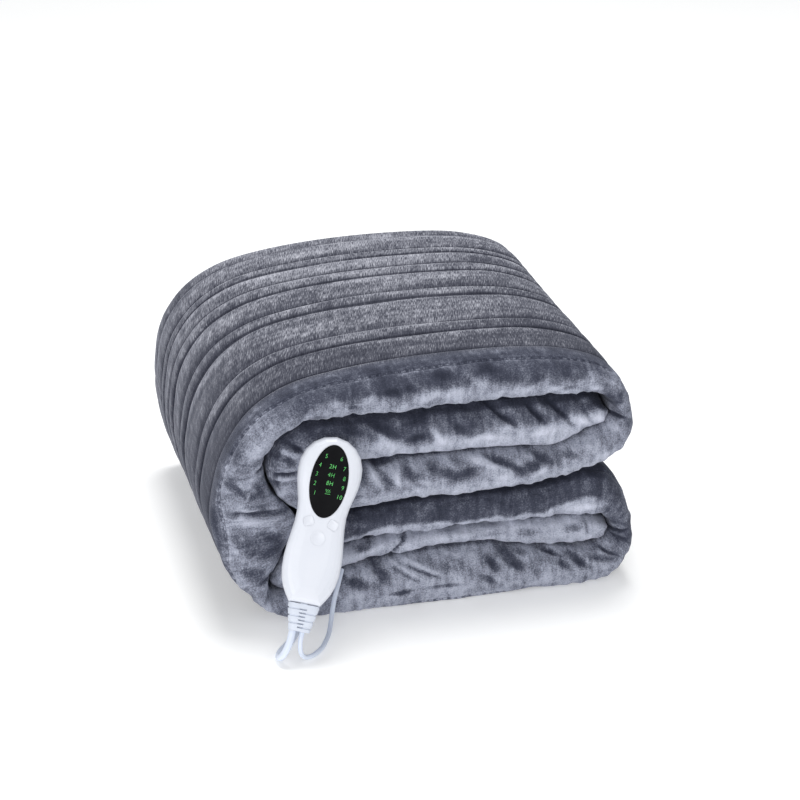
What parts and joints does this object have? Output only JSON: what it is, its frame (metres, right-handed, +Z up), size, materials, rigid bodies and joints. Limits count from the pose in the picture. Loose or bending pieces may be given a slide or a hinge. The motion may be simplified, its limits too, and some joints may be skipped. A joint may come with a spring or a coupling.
{
  "type": "folded electric heated blanket",
  "caption": "Quilted heated blanket folded into a thick stack, with a wired hand controller leaning on its front, leads and a plug.",
  "frame": {"origin": "a point of the flat underside of the bottom layer, on the surface the blanket lies on, below the middle of its width", "axes": "+X along the front to the right, +Y away from the viewer, +Z up"},
  "size_m": [0.3784, 0.5507, 0.2221],
  "materials": {
    "blanket_cloth": "plush short-pile cloth, slate blue-grey",
    "housing_plastic": "satin cool white",
    "display_gloss": "glossy black window",
    "lead_jacket": "soft satin cool white jacket",
    "tie_band": "black",
    "plug_plastic": "moulded cool white",
    "blade_metal": "plated brass"
  },
  "bodies": {
    "root": {"blanket": "blanket_cloth", "front_shell": "housing_plastic", "back_shell": "housing_plastic", "display_window": "display_gloss", "strain_relief": "lead_jacket", "control_lead": "lead_jacket", "mains_lead": "lead_jacket", "mains_coil": "lead_jacket", "plug_lead": "lead_jacket", "coil_tie": "tie_band", "plug_body": "plug_plastic", "plug_blade_left": "blade_metal", "plug_blade_right": "blade_metal"},
    "power": {"key_power": "housing_plastic"},
    "heat": {"key_heat": "housing_plastic"},
    "timer": {"key_timer": "housing_plastic"}
  },
  "joints": [
    {"name": "power_push", "type": "slide", "parent": "root", "child": "power", "axis": [0.1241, 0.8827, -0.4532], "range_m": [0, 0.0006], "stiffness_N_per_m": 400},
    {"name": "heat_push", "type": "slide", "parent": "root", "child": "heat", "axis": [0.1241, 0.8827, -0.4532], "range_m": [0, 0.0006], "stiffness_N_per_m": 400},
    {"name": "timer_push", "type": "slide", "parent": "root", "child": "timer", "axis": [0.1241, 0.8827, -0.4532], "range_m": [0, 0.0006], "stiffness_N_per_m": 400}
  ]
}
